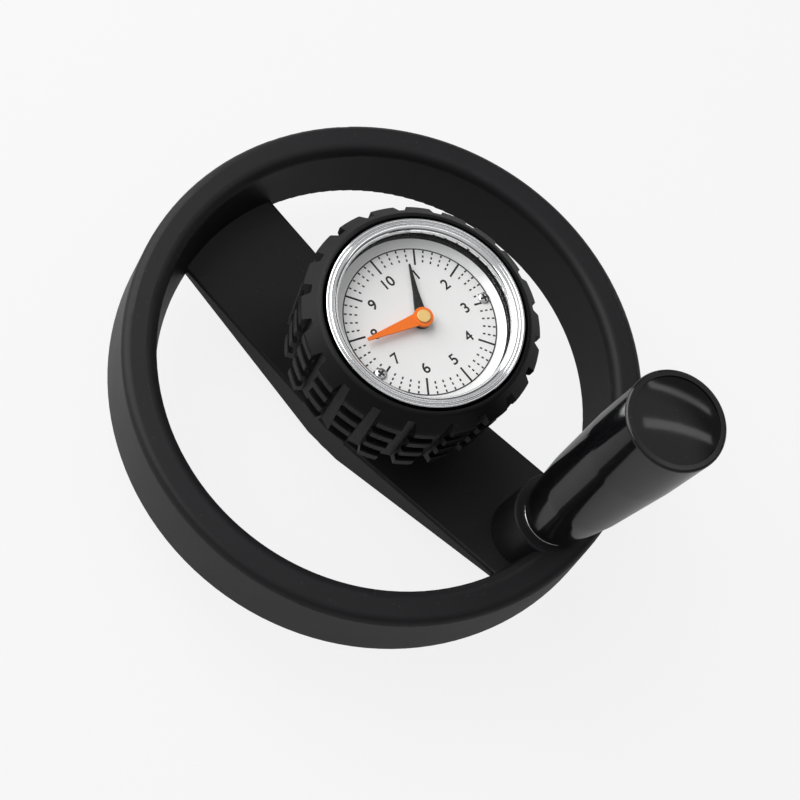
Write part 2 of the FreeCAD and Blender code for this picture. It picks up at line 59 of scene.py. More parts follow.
MM = 0.001
UP = Vector((0.0, 0.0, 1.0))
LEAST_EDGE = 0.0001 * MM             # points closer than this are one point
SMOOTH_BELOW = math.radians(35)      # edges with a smaller angle are shaded smooth

# Camera: where it stands, what it looks at and how far it leans
CAMERA_PLACE = Vector((36.86, -179.05, 395.62)) * MM
CAMERA_TARGET = Vector((9.71, -8.65, 43.5)) * MM
CAMERA_LEAN = math.radians(-36.44)
CAMERA_LENS_MM = 62.0
CAMERA_SENSOR_MM = 36.0

# Dial print, with radii about the wheel's axis
PRINT_THICKNESS = 0.02 * MM
PRINT_CIRCLE_R = 21.42 * MM
PRINT_CIRCLE_W = 0.36 * MM
PRINT_CIRCLE_STEPS = 180
LONG_MARK_INNER_R = 16.7 * MM
LONG_MARK_W = 0.58 * MM
DASH_W = 0.46 * MM
DASH_LENGTH = 0.75 * MM
DASH_OUTER_RADII = (21.35 * MM, 19.9 * MM, 18.45 * MM)
DIAL_STEPS = 10
MARKS_PER_STEP = 5
DIAL_ZERO = math.radians(173.9)
NUMBER_R = 13.8 * MM
NUMBER_HEIGHT = 3.0 * MM
NUMBER_WEIGHT = 0.085 * MM           # how far each side of a stroke is moved out
NUMBER_CURVE_STEPS = 6
WALL_TILT = 0.5                      # a face whose normal rises less than this is a wall

# Dial screws: round heads with a cross slot
DIAL_SCREW_RING_R = 20.2 * MM
DIAL_SCREW_ANGLES = (68.8, 279.3)
DIAL_SCREW_R = 0.8 * MM
DIAL_SCREW_HEAD_R = 1.7 * MM
DIAL_SCREW_EDGE_H = 0.25 * MM
DIAL_SCREW_DOME = (0.35, 0.65, 0.85, 0.96)      # heights of the dome's hoops, as shares
CROSS_SLOT_W = 0.6 * MM
CROSS_SLOT_LENGTH = 2.2 * MM
CROSS_SLOT_FLOOR = 0.25 * MM

# Bezel: bead, crowned line and roll, each a step in from the one before
BEZEL_WALL = 1.5 * MM
BEZEL_BEAD_W = 0.8 * MM
BEZEL_GROOVE_W = 0.2 * MM
BEZEL_GROOVE_D = 0.25 * MM
BEZEL_LINE_W = 0.7 * MM
BEZEL_ROLL = 1.5 * MM
BEZEL_LIP_T = 2.1 * MM
BEZEL_STEPS = 288
ARC_STEPS = 12

# Grub screws: rods along Y with a hexagon socket in the end that shows
HEX_SOCKET_SHARE = 0.55
HEX_SOCKET_DEPTH = 2.0 * MM
GRUB_CHAMFER = 0.35 * MM
ROUND_STEPS = 48

# Skin of the finishes
CLOUD_SCALE = 45.0                   # of the slow unevenness in a moulded skin
TARNISH_SCALE = 1500.0               # of the fine unevenness in turned metal
SKIN_STRENGTH = 0.5                  # of the height of grain and lathe rings
POLISH_STRENGTH = 0.15               # of the height of the handle's polished skin
SPECK_EDGE, SPECK_CORE = 0.2, 0.05   # where a dust speck starts and where it is whole
SPECK_RARITY = 0.88                  # share of the places that have no speck
DUST_TILT = (0.3, 0.9)               # rise of a face's normal without dust and with all of it
SMUDGE_RANGE = (0.48, 0.7)           # noise at which a smudge starts and is whole

# Stage
FLOOR_HALF = 20.0
FLOOR_DROP = 0.1 * MM
FLOOR_PAPER = (0.56, 0.56, 0.56, 1.0)
FLOOR_WHITE_SEEN = 0.84              # share of plain white in the floor as it is seen
FLOOR_WHITE_MIRRORED = 0.12          # and as it shows in gloss
ROOM_TONES = (                       # height of the direction looked in, tone of the room there
    (0.10, (1.0, 1.0, 1.0, 1.0)),
    (0.34, (0.10, 0.10, 0.105, 1.0)),
    (0.66, (0.12, 0.12, 0.125, 1.0)),
    (0.86, (0.50, 0.50, 0.51, 1.0)),
)


def join(tree, socket, value):
    """Feeds a node's input from another node's output, or sets it."""
    if isinstance(value, bpy.types.NodeSocket):
        tree.links.new(value, socket)
    else:
        socket.default_value = value


def add_node(tree, kind, feeds, **options):
    """Adds a shader node, sets its options and feeds its inputs by name or number."""
    node = tree.nodes.new("ShaderNode" + kind)
    for option, value in options.items():
        setattr(node, option, value)
    for key, value in feeds.items():
        join(tree, node.inputs[key], value)
    return node


def reckon(tree, operation, first, second=0.0, third=0.0, clamp=False):
    """One sum on up to three values."""
    feeds = {0: first, 1: second, 2: third}
    return add_node(tree, "Math", feeds, operation=operation, use_clamp=clamp).outputs[0]


def spread_between(tree, value, low, high):
    """0 at low, 1 at high and in between in proportion."""
    feeds = {"Value": value, "From Min": low, "From Max": high}
    return add_node(tree, "MapRange", feeds).outputs["Result"]


def blend_colour(tree, share, first, second):
    """The first colour with a share of the second; a Mix node's colours are its inputs 6 and 7."""
    node = add_node(tree, "Mix", {"Factor": share, 6: first, 7: second}, data_type="RGBA")
    return node.outputs[2]


def start_effect(name, takes, gives):
    """Starts a shader node group with named sockets; returns its tree, inputs and outputs."""
    tree = bpy.data.node_groups.new(name, "ShaderNodeTree")
    for label, kind, default in takes:
        socket = tree.interface.new_socket(label, in_out="INPUT", socket_type="NodeSocket" + kind)
        socket.default_value = default
    for label, kind in gives:
        tree.interface.new_socket(label, in_out="OUTPUT", socket_type="NodeSocket" + kind)
    fed_in = tree.nodes.new("NodeGroupInput").outputs
    put_out = tree.nodes.new("NodeGroupOutput").inputs
    return tree, fed_in, put_out


def place_at_rest(tree):
    """Place on the piece at rest, in metres."""
    return add_node(tree, "TexCoord", {}).outputs["Object"]


def make_moulded_grain():
    """Moulded skin: a fine pitted height, a little unevenness in tone and in gloss."""
    tree, takes, gives = start_effect("moulded_grain", [
        ("Colour", "Color", (0.5, 0.5, 0.5, 1.0)),
        ("Grain Scale", "Float", 2500.0),
        ("Mottle", "Float", 0.2),
        ("Roughness", "Float", 0.5),
        ("Roughness Spread", "Float", 0.1),
    ], [("Colour", "Color"), ("Roughness", "Float"), ("Height", "Float")])
    place = place_at_rest(tree)
    grain = add_node(tree, "TexNoise", {
        "Vector": place, "Scale": takes["Grain Scale"], "Detail": 3.0, "Roughness": 0.6})
    cloud = add_node(tree, "TexNoise", {
        "Vector": place, "Scale": CLOUD_SCALE, "Detail": 4.0, "Roughness": 0.65})
    cloud_off = reckon(tree, "SUBTRACT", cloud.outputs["Fac"], 0.5)
    grain_off = reckon(tree, "SUBTRACT", grain.outputs["Fac"], 0.5)
    tone = reckon(tree, "MULTIPLY_ADD", cloud_off, takes["Mottle"], 1.0)
    toned = add_node(tree, "HueSaturation", {"Value": tone, "Color": takes["Colour"]})
    rough = reckon(tree, "MULTIPLY_ADD", reckon(tree, "ADD", cloud_off, grain_off),
                   takes["Roughness Spread"], takes["Roughness"], clamp=True)
    join(tree, gives["Colour"], toned.outputs["Color"])
    join(tree, gives["Roughness"], rough)
    join(tree, gives["Height"], grain.outputs["Fac"])
    return tree


def make_settled_dust():
    """Sparse pale specks on faces that look up."""
    tree, takes, gives = start_effect("settled_dust", [
        ("Colour", "Color", (0.5, 0.5, 0.5, 1.0)),
        ("Dust Colour", "Color", (0.3, 0.3, 0.29, 1.0)),
        ("Speck Scale", "Float", 700.0),
        ("Amount", "Float", 0.5),
    ], [("Colour", "Color")])
    specks = add_node(tree, "TexVoronoi", {
        "Vector": place_at_rest(tree), "Scale": takes["Speck Scale"]})
    close = spread_between(tree, specks.outputs["Distance"], SPECK_EDGE, SPECK_CORE)
    drawn = add_node(tree, "SeparateColor", {"Color": specks.outputs["Color"]})
    rare = reckon(tree, "GREATER_THAN", drawn.outputs["Red"], SPECK_RARITY)
    normal = add_node(tree, "NewGeometry", {}).outputs["Normal"]
    facing = add_node(tree, "SeparateXYZ", {"Vector": normal}).outputs["Z"]
    upward = reckon(tree, "MULTIPLY", spread_between(tree, facing, *DUST_TILT), takes["Amount"])
    mask = reckon(tree, "MULTIPLY", reckon(tree, "MULTIPLY", close, rare), upward)
    join(tree, gives["Colour"], blend_colour(tree, mask, takes["Colour"], takes["Dust Colour"]))
    return tree


def make_turned_marks():
    """Fine rings left by a lathe tool about an upright axis, with uneven gloss."""
    tree, takes, gives = start_effect("turned_marks", [
        ("Axis", "Vector", (0.0, 0.0, 0.0)),
        ("Rings Per Metre", "Float", 4000.0),
        ("Roughness", "Float", 0.2),
        ("Roughness Spread", "Float", 0.1),
    ], [("Roughness", "Float"), ("Height", "Float")])
    from_axis = add_node(tree, "VectorMath", {0: place_at_rest(tree), 1: takes["Axis"]},
                         operation="SUBTRACT").outputs[0]
    across = add_node(tree, "VectorMath", {0: from_axis, 1: (1.0, 1.0, 0.0)},
                      operation="MULTIPLY").outputs[0]
    radius = add_node(tree, "VectorMath", {0: across}, operation="LENGTH").outputs["Value"]
    rings = add_node(tree, "TexNoise", {
        "W": radius, "Scale": takes["Rings Per Metre"], "Detail": 3.0, "Roughness": 0.7},
        noise_dimensions="1D")
    off = reckon(tree, "SUBTRACT", rings.outputs["Fac"], 0.5)
    rough = reckon(tree, "MULTIPLY_ADD", off, takes["Roughness Spread"], takes["Roughness"],
                   clamp=True)
    join(tree, gives["Roughness"], rough)
    join(tree, gives["Height"], rings.outputs["Fac"])
    return tree


def make_handling_smudges():
    """Soft finger smudges that dull the gloss in patches."""
    tree, takes, gives = start_effect("handling_smudges", [
        ("Roughness", "Float", 0.2),
        ("Dulling", "Float", 0.1),
        ("Smudge Scale", "Float", 90.0),
    ], [("Roughness", "Float")])
    patches = add_node(tree, "TexNoise", {
        "Vector": place_at_rest(tree), "Scale": takes["Smudge Scale"], "Detail": 5.0,
        "Roughness": 0.6, "Distortion": 1.2})
    mask = spread_between(tree, patches.outputs["Fac"], *SMUDGE_RANGE)
    rough = reckon(tree, "MULTIPLY_ADD", mask, takes["Dulling"], takes["Roughness"], clamp=True)
    join(tree, gives["Roughness"], rough)
    return tree


moulded_grain = make_moulded_grain()
settled_dust = make_settled_dust()
turned_marks = make_turned_marks()
handling_smudges = make_handling_smudges()


def start_finish(name, fixed):
    """Starts a material with its fixed values; returns it, its tree and its shader's inputs."""
    finish = bpy.data.materials.new(name)
    finish.use_nodes = True
    shader = finish.node_tree.nodes["Principled BSDF"]
    for socket, value in fixed.items():
        shader.inputs[socket].default_value = value
    return finish, finish.node_tree, shader.inputs


def use_effect(tree, effect, feeds):
    """Places a shader node group in a tree and feeds its inputs; returns its outputs."""
    node = tree.nodes.new("ShaderNodeGroup")
    node.node_tree = effect
    for key, value in feeds.items():
        join(tree, node.inputs[key], value)
    return node.outputs


def raise_surface(tree, shader, height, strength, depth):
    """Lets a height that changes over the surface catch the light."""
    feeds = {"Height": height, "Strength": strength, "Distance": depth}
    join(tree, shader["Normal"], add_node(tree, "Bump", feeds).outputs["Normal"])


def moulded_finish(name, colour, roughness, grain_scale, grain_depth, dust, specular,
                   mottle=0.25, spread=0.12):
    """Moulded plastic, rubber or paint with its grain and a little dust."""
    finish, tree, shader = start_finish(name, {"Specular IOR Level": specular})
    grain = use_effect(tree, moulded_grain, {
        "Colour": (*colour, 1.0), "Grain Scale": grain_scale, "Mottle": mottle,
        "Roughness": roughness, "Roughness Spread": spread})
    dusty = use_effect(tree, settled_dust, {"Colour": grain["Colour"], "Amount": dust})
    join(tree, shader["Base Color"], dusty["Colour"])
    join(tree, shader["Roughness"], grain["Roughness"])
    raise_surface(tree, shader, grain["Height"], SKIN_STRENGTH, grain_depth)
    return finish


def turned_metal(name, colour, roughness, rings, ring_depth, axis=(0.0, 0.0, 0.0), spread=0.12,
                 mottle=0.12, metal=1.0):
    """Turned metal: lathe rings about an upright axis and a little tarnish."""
    finish, tree, shader = start_finish(name, {"Metallic": metal})
    grain = use_effect(tree, moulded_grain, {
        "Colour": (*colour, 1.0), "Grain Scale": TARNISH_SCALE, "Mottle": mottle,
        "Roughness": roughness, "Roughness Spread": spread})
    marks = use_effect(tree, turned_marks, {
        "Axis": axis, "Rings Per Metre": rings, "Roughness": grain["Roughness"],
        "Roughness Spread": spread})
    join(tree, shader["Base Color"], grain["Colour"])
    join(tree, shader["Roughness"], marks["Roughness"])
    raise_surface(tree, shader, marks["Height"], SKIN_STRENGTH, ring_depth)
    return finish


def polished_handle_finish():
    """Polished black moulding of the handle, dulled in patches where it is held."""
    finish, tree, shader = start_finish("handle_black", {"IOR": 1.5})
    grain = use_effect(tree, moulded_grain, {
        "Colour": (0.004, 0.004, 0.0045, 1.0), "Grain Scale": 350.0, "Mottle": 0.3,
        "Roughness": 0.09, "Roughness Spread": 0.02})
    smudged = use_effect(tree, handling_smudges, {
        "Roughness": grain["Roughness"], "Dulling": 0.05, "Smudge Scale": 70.0})
    dusty = use_effect(tree, settled_dust, {
        "Colour": grain["Colour"], "Amount": 0.08, "Speck Scale": 900.0})
    join(tree, shader["Base Color"], dusty["Colour"])
    join(tree, shader["Roughness"], smudged["Roughness"])
    raise_surface(tree, shader, grain["Height"], POLISH_STRENGTH, 0.004 * MM)
    return finish


def window_finish():
    """Clear window: it bends and mirrors light for the eye and lets the lamps through."""
    finish, tree, shader = start_finish("window_glass", {
        "Base Color": (1.0, 1.0, 1.0, 1.0), "IOR": 1.3, "Transmission Weight": 1.0})
    smudged = use_effect(tree, handling_smudges, {
        "Roughness": 0.0, "Dulling": 0.015, "Smudge Scale": 120.0})
    join(tree, shader["Roughness"], smudged["Roughness"])
    path = add_node(tree, "LightPath", {}).outputs
    let_through = reckon(tree, "MAXIMUM", path["Is Shadow Ray"], path["Is Diffuse Ray"])
    clear = add_node(tree, "BsdfTransparent", {})
    shown = tree.nodes["Principled BSDF"].outputs["BSDF"]
    mixed = add_node(tree, "MixShader", {0: let_through, 1: shown, 2: clear.outputs["BSDF"]})
    join(tree, tree.nodes["Material Output"].inputs["Surface"], mixed.outputs["Shader"])
    return finish


spindle_low, spindle_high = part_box("handle_spindle")
spindle_middle = (spindle_low + spindle_high) / 2
SPINDLE_AXIS = (spindle_middle.x, spindle_middle.y, 0.0)

finishes = {
    "wheel_black": moulded_finish(
        "wheel_black", (0.012, 0.0118, 0.013), roughness=0.42, grain_scale=2200.0,
        grain_depth=0.02 * MM, dust=0.08, specular=0.2),
    "handle_black": polished_handle_finish(),
    "case_black": moulded_finish(
        "case_black", (0.007, 0.007, 0.007), roughness=0.5, grain_scale=3000.0,
        grain_depth=0.02 * MM, dust=0.2, specular=0.3),
    "tread_rubber": moulded_finish(
        "tread_rubber", (0.003, 0.003, 0.003), roughness=0.42, grain_scale=2600.0,
        grain_depth=0.03 * MM, dust=0.12, specular=0.19, mottle=0.35, spread=0.15),
    "seal_rubber": moulded_finish(
        "seal_rubber", (0.002, 0.002, 0.002), roughness=0.85, grain_scale=3000.0,
        grain_depth=0.03 * MM, dust=0.0, specular=0.1),
    "steel": turned_metal(
        "steel", (0.60, 0.60, 0.61), roughness=0.24, rings=5000.0, ring_depth=0.004 * MM),
    # Near-black steel on the walls and floors of cross slots and hexagon sockets: painted shade in
    # the recesses, not a different metal.
    "painted_recess_shade_steel": turned_metal(
        "painted_recess_shade_steel", (0.035, 0.035, 0.037), roughness=0.5, rings=5000.0,
        ring_depth=0.004 * MM),
    "thrust_steel": turned_metal(
        "thrust_steel", (0.42, 0.42, 0.43), roughness=0.22, rings=5000.0,
        ring_depth=0.004 * MM, axis=SPINDLE_AXIS),
    "bezel_chrome": turned_metal(
        "bezel_chrome", (0.88, 0.885, 0.89), roughness=0.09, rings=6000.0,
        ring_depth=0.001 * MM, spread=0.05, mottle=0.06),
    "window_glass": window_finish(),
    "cone_aluminium": turned_metal(
        "cone_aluminium", (0.80, 0.81, 0.805), roughness=0.45, rings=7000.0,
        ring_depth=0.002 * MM, mottle=0.06, metal=0.45),
    "dial_white": moulded_finish(
        "dial_white", (0.84, 0.84, 0.83), roughness=0.45, grain_scale=4000.0,
        grain_depth=0.004 * MM, dust=0.06, specular=0.3, mottle=0.02),
    "brass": turned_metal(
        "brass", (0.72, 0.50, 0.19), roughness=0.5, rings=5000.0, ring_depth=0.006 * MM,
        mottle=0.35),
    "pointer_black": moulded_finish(
        "pointer_black", (0.004, 0.004, 0.004), roughness=0.5, grain_scale=3000.0,
        grain_depth=0.008 * MM, dust=0.0, specular=0.2),
    "pointer_orange": moulded_finish(
        "pointer_orange", (0.88, 0.17, 0.003), roughness=0.45, grain_scale=3000.0,
        grain_depth=0.008 * MM, dust=0.0, specular=0.2, mottle=0.10),
}

nodes_of_finish = {
    "wheel_black": ("wheel_body",),
    "handle_black": ("handle_grip", "handle_cap"),
    "case_black": ("indicator_case",),
    "tread_rubber": ("grip_ring",),
    "seal_rubber": ("window_gasket",),
    "steel": ("hub_bush", "shaft_set_screw", "indicator_clamp_screw", "dial_screws",
              "movement_screws", "pillar_screws", "idler_stud"),
    "thrust_steel": ("handle_spindle", "thrust_washer", "spindle_washer", "spindle_screw"),
    "bezel_chrome": ("bezel_ring",),
    "window_glass": ("window",),
    "cone_aluminium": ("dial_cone",),
    "dial_white": ("dial_plate",),
    "brass": ("rear_bearing", "dial_posts", "back_plate", "front_plate", "plate_pillars", "arbor",
              "pendulum_weight", "drive_pinion", "idler_wheel", "idler_pinion", "pointer_wheel",
              "pointer_tube"),
    "pointer_black": ("count_pointer",),
    "pointer_orange": ("turn_pointer",),
}
for finish_name, node_names in nodes_of_finish.items():
    for node_name in node_names:
        for material_slot in cad_nodes[node_name].material_slots:
            material_slot.material = finishes[finish_name]


def polar(angle, radius):
    """Point at an angle and a radius about the wheel's axis."""
    return Vector((radius * math.cos(angle), radius * math.sin(angle), 0.0))


def add_prism(mesh, outline, low, high):
    """Adds a closed upright prism over an outline that runs anticlockwise."""
    floor = [mesh.verts.new((p[0], p[1], low)) for p in outline]
    roof = [mesh.verts.new((p[0], p[1], high)) for p in outline]
    mesh.faces.new(reversed(floor))
    mesh.faces.new(roof)
    for i in range(len(outline)):
        j = (i + 1) % len(outline)
        mesh.faces.new((floor[i], floor[j], roof[j], roof[i]))


def add_ring(mesh, section, steps):
    """Adds a closed ring about the wheel's axis; the (radius, height) points run anticlockwise."""
    hoops = []
    for i in range(steps):
        turn = 2 * math.pi * i / steps
        hoops.append([mesh.verts.new(polar(turn, radius) + UP * height)
                      for radius, height in section])
    for i in range(steps):
        here, there = hoops[i], hoops[(i + 1) % steps]
        for k in range(len(section)):
            n = (k + 1) % len(section)
            mesh.faces.new((here[k], there[k], there[n], here[n]))


def arc_points(radius, height, reach, rise, start, end):
    """Points along part of an ellipse in a section, from one angle to the other."""
    turns = [start + (end - start) * i / ARC_STEPS for i in range(ARC_STEPS + 1)]
    return [(radius + reach * math.cos(turn), height + rise * math.sin(turn)) for turn in turns]


def add_bar(mesh, angle, inner, outer, width, low, high):
    """Adds a radial bar of even width."""
    side = polar(angle + math.pi / 2, width / 2)
    near, far = polar(angle, inner), polar(angle, outer)
    add_prism(mesh, (near - side, far - side, far + side, near + side), low, high)


def add_turned(mesh, profile, foot):
    """Adds a closed turned form: the (radius, height) points start and end on its axis."""
    turns = [2 * math.pi * i / ROUND_STEPS for i in range(ROUND_STEPS)]
    bottom = mesh.verts.new(foot + UP * profile[0][1])
    top = mesh.verts.new(foot + UP * profile[-1][1])
    hoops = []
    for radius, height in profile[1:-1]:
        hoops.append([mesh.verts.new(foot + polar(turn, radius) + UP * height) for turn in turns])
    for i in range(ROUND_STEPS):
        j = (i + 1) % ROUND_STEPS
        mesh.faces.new((bottom, hoops[0][j], hoops[0][i]))
        for below, above in zip(hoops, hoops[1:]):
            mesh.faces.new((below[i], below[j], above[j], above[i]))
        mesh.faces.new((top, hoops[-1][i], hoops[-1][j]))


def new_piece(name, mesh, looks, body, smooth=True):
    """Makes a piece of a finished bmesh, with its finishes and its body."""
    data = bpy.data.meshes.new(name)
    mesh.to_mesh(data)
    mesh.free()
    if smooth:
        data.shade_smooth()
        data.set_sharp_from_angle(angle=SMOOTH_BELOW)
    for finish in looks:
        data.materials.append(finish)
    piece = bpy.data.objects.new(name, data)
    scene.collection.objects.link(piece)
    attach(piece, body)
    return piece


# Plain steel, then the near-black steel that paints shade into cut recesses.
steel_and_painted_recess_shade = [finishes["steel"], finishes["painted_recess_shade_steel"]]


def cut_recess(solid, cutter):
    """The solid less the cutter, as a new bmesh whose cut faces take the second finish, the
    near-black steel that paints shade into the recess.
    """
    for face in cutter.faces:
        face.material_index = 1
    holders = []
    for name, mesh in (("solid", solid), ("cutter", cutter)):
        data = bpy.data.meshes.new(name)
        mesh.to_mesh(data)
        mesh.free()
        for finish in steel_and_painted_recess_shade:
            data.materials.append(finish)
        holder = bpy.data.objects.new(name, data)
        scene.collection.objects.link(holder)
        holders.append(holder)
    cut = holders[0].modifiers.new("cut", "BOOLEAN")
    cut.operation = "DIFFERENCE"
    cut.solver = "EXACT"
    cut.object = holders[1]
    result = bmesh.new()
    result.from_object(holders[0], bpy.context.evaluated_depsgraph_get())
    bmesh.ops.dissolve_degenerate(result, dist=LEAST_EDGE, edges=result.edges)
    for holder in holders:
        data = holder.data
        bpy.data.objects.remove(holder)
        bpy.data.meshes.remove(data)
    return result


def dial_print():
    """Circle, long marks and dashes printed on the dial."""
    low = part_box("dial_plate")[1].z
    high = low + PRINT_THICKNESS
    mesh = bmesh.new()
    inner, outer = PRINT_CIRCLE_R, PRINT_CIRCLE_R + PRINT_CIRCLE_W
    add_ring(mesh, ((inner, low), (outer, low), (outer, high), (inner, high)), PRINT_CIRCLE_STEPS)
    for i in range(DIAL_STEPS * MARKS_PER_STEP):
        angle = DIAL_ZERO - 2 * math.pi * i / (DIAL_STEPS * MARKS_PER_STEP)
        if i % MARKS_PER_STEP == 0:
            add_bar(mesh, angle, LONG_MARK_INNER_R, PRINT_CIRCLE_R, LONG_MARK_W, low, high)
        else:
            for outer in DASH_OUTER_RADII:
                add_bar(mesh, angle, outer - DASH_LENGTH, outer, DASH_W, low, high)
    new_piece("dial_print", mesh, [finishes["pointer_black"]], "wheel",
              smooth=False)


def embolden(data):
    """Moves the upright walls of a flat number outward, so that its strokes get heavier."""
    mesh = bmesh.new()
    mesh.from_mesh(data)
    bmesh.ops.remove_doubles(mesh, verts=mesh.verts, dist=LEAST_EDGE)
    bmesh.ops.recalc_face_normals(mesh, faces=mesh.faces)
    outward = []
    for v in mesh.verts:
        walls = [face.normal for face in v.link_faces if abs(face.normal.z) < WALL_TILT]
        outward.append(sum(walls, Vector()).normalized() * NUMBER_WEIGHT)
    for v, move in zip(mesh.verts, outward):
        v.co += move
    mesh.to_mesh(data)
    mesh.free()


def number_mesh(text):
    """A number as a mesh about its own middle, of the printed height and thickness."""
    letters = bpy.data.curves.new("number", "FONT")
    letters.body = text
    letters.extrude = 0.5       # any depth will do, because it is scaled below
    letters.resolution_u = NUMBER_CURVE_STEPS
    holder = bpy.data.objects.new("number", letters)
    scene.collection.objects.link(holder)
    data = bpy.data.meshes.new_from_object(holder)
    bpy.data.objects.remove(holder)
    bpy.data.curves.remove(letters)
    low = Vector(min(v.co[k] for v in data.vertices) for k in range(3))
    high = Vector(max(v.co[k] for v in data.vertices) for k in range(3))
    size = NUMBER_HEIGHT / (high.y - low.y)
    middle = (low + high) / 2
    for v in data.vertices:
        v.co = ((v.co.x - middle.x) * size, (v.co.y - middle.y) * size,
                (v.co.z - low.z) / (high.z - low.z) * PRINT_THICKNESS)
    embolden(data)
    return data


def dial_numbers():
    """The numbers 1 to 10, each upright as the zero mark is."""
    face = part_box("dial_plate")[1].z
    upright = Matrix.Rotation(DIAL_ZERO - math.pi / 2, 4, "Z")
    mesh = bmesh.new()
    for number in range(1, DIAL_STEPS + 1):
        angle = DIAL_ZERO - 2 * math.pi * number / DIAL_STEPS
        data = number_mesh(str(number))
        data.transform(Matrix.Translation(polar(angle, NUMBER_R) + UP * face) @ upright)
        mesh.from_mesh(data)
        bpy.data.meshes.remove(data)
    bmesh.ops.remove_doubles(mesh, verts=mesh.verts, dist=LEAST_EDGE)
    new_piece("dial_numbers", mesh, [finishes["pointer_black"]], "wheel",
              smooth=False)


def cross_slotted_dial_screws():
    """Two dial screws with domed heads and a cross slot."""
    low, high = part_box("dial_screws")
    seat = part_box("dial_plate")[1].z
    head = high.z - seat
    profile = [(0.0, low.z), (DIAL_SCREW_R, low.z), (DIAL_SCREW_R, seat), (DIAL_SCREW_HEAD_R, seat),
               (DIAL_SCREW_HEAD_R, seat + DIAL_SCREW_EDGE_H)]
    for lift in DIAL_SCREW_DOME:
        reach = math.sqrt(1.0 - lift * lift)
        profile.append((DIAL_SCREW_HEAD_R * reach,
                        seat + DIAL_SCREW_EDGE_H + (head - DIAL_SCREW_EDGE_H) * lift))
    profile.append((0.0, high.z))
    solids, slots = bmesh.new(), bmesh.new()
    half, arm = CROSS_SLOT_W / 2, CROSS_SLOT_LENGTH / 2
    cross = [(half, half), (half, arm), (-half, arm), (-half, half), (-arm, half), (-arm, -half),
             (-half, -half), (-half, -arm), (half, -arm), (half, -half), (arm, -half), (arm, half)]
    for angle in DIAL_SCREW_ANGLES:
        turn = math.radians(angle)
        foot = polar(turn, DIAL_SCREW_RING_R)
        add_turned(solids, profile, foot)
        spin = Matrix.Rotation(turn, 2)
        corners = [foot.xy + spin @ Vector(corner) for corner in cross]
        add_prism(slots, corners, seat + CROSS_SLOT_FLOOR, high.z + head)
    mesh = cut_recess(solids, slots)
    piece = new_piece("dial_screws_slotted", mesh, steel_and_painted_recess_shade, "wheel")
    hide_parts("dial_screws")


def rolled_bezel():
    """The bezel with a fully rounded bead, a crowned line and a smooth roll down to the window."""
    low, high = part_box("bezel_ring")
    edge, top = (high.x - low.x) / 2, high.z
    groove = top - BEZEL_GROOVE_D
    bead_in = edge - BEZEL_BEAD_W
    line_in = bead_in - BEZEL_GROOVE_W - BEZEL_LINE_W
    roll_out = line_in - BEZEL_GROOVE_W
    section = [(edge - BEZEL_WALL, low.z), (edge, low.z)]
    for inner, width in ((bead_in, BEZEL_BEAD_W), (line_in, BEZEL_LINE_W)):
        section += arc_points(inner + width / 2, groove, width / 2, BEZEL_GROOVE_D, 0.0, math.pi)
    section += arc_points(roll_out, groove - BEZEL_ROLL, BEZEL_ROLL, BEZEL_ROLL,
                          math.pi / 2, math.pi)
    section += [(roll_out - BEZEL_ROLL, top - BEZEL_LIP_T), (edge - BEZEL_WALL, top - BEZEL_LIP_T)]
    mesh = bmesh.new()
    add_ring(mesh, section, BEZEL_STEPS)
    piece = new_piece("bezel_rolled", mesh, [finishes["bezel_chrome"]], "wheel")
    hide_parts("bezel_ring")


def grub_screw(node, name):
    """A grub screw along Y with chamfered ends and a hexagon socket in its outer end."""
    low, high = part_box(node)
    radius, middle = (high.x - low.x) / 2, (low + high) / 2
    length = high.y - low.y
    profile = [(0.0, 0.0), (radius - GRUB_CHAMFER, 0.0), (radius, GRUB_CHAMFER),
               (radius, length - GRUB_CHAMFER), (radius - GRUB_CHAMFER, length), (0.0, length)]
    solid, socket = bmesh.new(), bmesh.new()
    add_turned(solid, profile, Vector())
    hexagon = [polar(math.pi * k / 3, radius * HEX_SOCKET_SHARE) for k in range(6)]
    depth = min(HEX_SOCKET_DEPTH, length / 2)
    add_prism(socket, hexagon, length - depth, length + depth)
    mesh = cut_recess(solid, socket)
    to_hole = Matrix.Translation((middle.x, low.y, middle.z))
    lay_along_y = Matrix.Rotation(-math.pi / 2, 4, "X")
    bmesh.ops.transform(mesh, matrix=to_hole @ lay_along_y, verts=mesh.verts)
    piece = new_piece(name, mesh, steel_and_painted_recess_shade, "wheel")
    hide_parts(node)


dial_print()
dial_numbers()
cross_slotted_dial_screws()
rolled_bezel()
grub_screw("shaft_set_screw", "shaft_grub_screw")
grub_screw("indicator_clamp_screw", "indicator_grub_screw")


